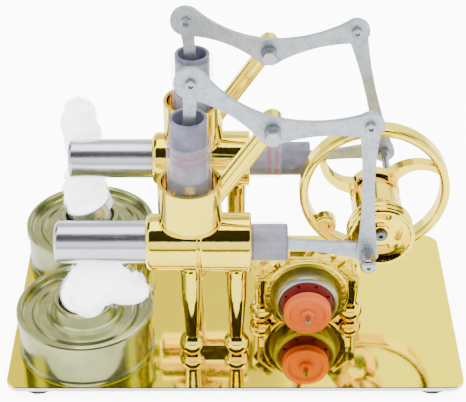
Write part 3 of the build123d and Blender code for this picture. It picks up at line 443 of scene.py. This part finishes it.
def stray_fibres(mesh, axis, calm_height, seed):
    """Loose fibres that stand off the tuft and lean along it, rooted well clear of the hot cylinder."""
    pick = random.Random(seed)
    places = []
    for vertex in mesh.vertices:
        if vertex.co.z > calm_height + FIBRE_START and clearance(vertex.co, axis) > FIBRE_ROOM:
            places.append((vertex.co.copy(), vertex.normal.copy()))
    shape = bmesh.new()
    shape.from_mesh(mesh)
    for _ in range(FIBRE_COUNT):
        root, out = pick.choice(places)
        swirl = Vector((pick.uniform(-1, 1), pick.uniform(-1, 1), pick.uniform(-1, 1)))
        along = (swirl - out * swirl.dot(out)).normalized()
        direction = (out * pick.uniform(0.3, 0.9) + along).normalized()
        bend = (along * 0.5 - out * pick.uniform(0.1, 0.5)) + swirl * 0.2
        strand(shape, root - out * FIBRE_SINK, direction, bend, pick.uniform(*FIBRE_LENGTHS))
    shape.to_mesh(mesh)
    shape.free()


def cotton_tuft(side, material):
    """Fluffy tuft in place of the plain cotton solid, riding on its burner."""
    node = side + "_cotton_wick"
    neck_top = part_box(side + "_burner_lid")[1][2]
    calm_height = neck_top + CALM_ABOVE_NECK
    axis = hot_cylinder_axis(side)
    mesh = remeshed(node)
    fluff(mesh, axis, calm_height)
    mesh.update()
    stray_fibres(mesh, axis, calm_height, SEEDS[side])
    mesh.materials.clear()
    mesh.materials.append(material)
    mesh.polygons.foreach_set("use_smooth", [True] * len(mesh.polygons))
    tuft = bpy.data.objects.new(side + "_cotton_tuft", mesh)
    link_object(tuft)
    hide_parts(node)
    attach(tuft, side + "_burner")


def cotton():
    material = white_cotton()
    for side in SIDES:
        cotton_tuft(side, material)


# ---------------------------------------------------------------- stage, light and camera
def rectangle(name, half_width, half_height, material):
    """Flat staging rectangle in its own XY plane."""
    w, h = half_width, half_height
    mesh = bpy.data.meshes.new(name)
    mesh.from_pydata([(-w, -h, 0), (w, -h, 0), (w, h, 0), (-w, h, 0)], [], [(0, 1, 2, 3)])
    mesh.materials.append(material)
    thing = bpy.data.objects.new(name, mesh)
    link_object(thing)
    return thing


def floor():
    """Pale table that is lifted to near white where the camera sees it directly."""
    material, tree, shader = new_material("pale_floor")
    seen = add(tree, "LightPath").outputs["Is Camera Ray"]
    set_inputs(tree, shader, {
        "Base Color": (0.93, 0.93, 0.93, 1.0),
        "Roughness": 0.9,
        "Emission Color": (1.0, 1.0, 1.0, 1.0),
        "Emission Strength": spread(tree, seen, 0.0, FLOOR_GLOW),
    })
    rectangle("floor", FLOOR_HALF, FLOOR_HALF, material)


def tent():
    """Soft white tent: bright overhead, calmer towards the horizon."""
    world = bpy.data.worlds.new("soft_studio")
    bpy.context.scene.world = world
    world.use_nodes = True
    tree = world.node_tree
    direction = add(tree, "TexCoord").outputs["Generated"]
    height = add(tree, "SeparateXYZ", inputs={"Vector": direction}).outputs["Z"]
    glow = ramp(tree, height, [(0.0, 0.40), (0.45, 0.52), (0.68, 0.52), (0.86, 0.95), (1.0, 1.0)])
    set_inputs(tree, tree.nodes["Background"], {
        "Color": (1.0, 1.0, 1.0, 1.0),
        "Strength": spread(tree, glow, 0.0, TENT_GLOW),
    })


def card(name, azimuth, elevation, width, height, level):
    """A card that only reflections see; azimuth 0 is the front, and angles are in degrees."""
    turn, lift = math.radians(azimuth), math.radians(elevation)
    away = Vector((math.sin(turn) * math.cos(lift), -math.cos(turn) * math.cos(lift), math.sin(lift)))
    material, tree, shader = new_material(name)
    set_inputs(tree, shader, {
        "Base Color": (0.0, 0.0, 0.0, 1.0),
        "Specular IOR Level": 0.0,
        "Emission Color": (1.0, 0.92, 0.8, 1.0),
        "Emission Strength": level,
    })
    half_sizes = (CARD_DISTANCE * math.tan(math.radians(angle / 2)) for angle in (width, height))
    thing = rectangle(name, *half_sizes, material)
    thing.location = MIDDLE + away * CARD_DISTANCE
    thing.rotation_euler = away.to_track_quat("Z", "Y").to_euler()
    thing.visible_camera = False
    thing.visible_diffuse = False
    thing.visible_shadow = False
    thing.visible_transmission = False


def area_light(name, place, size, power):
    """Soft box aimed at the object's middle, left out of reflections."""
    data = bpy.data.lights.new(name, "AREA")
    data.shape = "RECTANGLE"
    data.size, data.size_y = size
    data.energy = power
    light = bpy.data.objects.new(name, data)
    light.location = place
    light.rotation_euler = (Vector(place) - MIDDLE).to_track_quat("Z", "Y").to_euler()
    light.visible_glossy = False
    link_object(light)


def lights():
    area_light("key", (-0.45, -0.45, 0.85), (0.8, 0.8), 5.0)
    area_light("fill", (0.55, -0.25, 0.75), (0.8, 0.8), 3.0)
    area_light("back", (0.10, 0.75, 0.60), (0.8, 0.6), 3.0)
    card("high_flag", 0, 58, 100, 46, 0.02)
    card("horizon_flag", 0, 2, 80, 9, 0.35)
    card("left_flag", -118, 36, 30, 44, 0.1)
    card("right_flag", 118, 36, 30, 44, 0.1)
    card("back_left_flag", 203, 38, 40, 36, 1.3)


def camera():
    data = bpy.data.cameras.new("camera")
    data.sensor_width = 36.0
    data.lens = LENS
    data.clip_start = 0.01
    view = bpy.data.objects.new("camera", data)
    view.location = CAMERA_PLACE
    view.rotation_euler = (math.radians(90 - CAMERA_DOWN), 0.0, math.radians(CAMERA_TURN))
    link_object(view)
    bpy.context.scene.camera = view


camera()
floor()
tent()
lights()
dress_cad_nodes()
cotton()
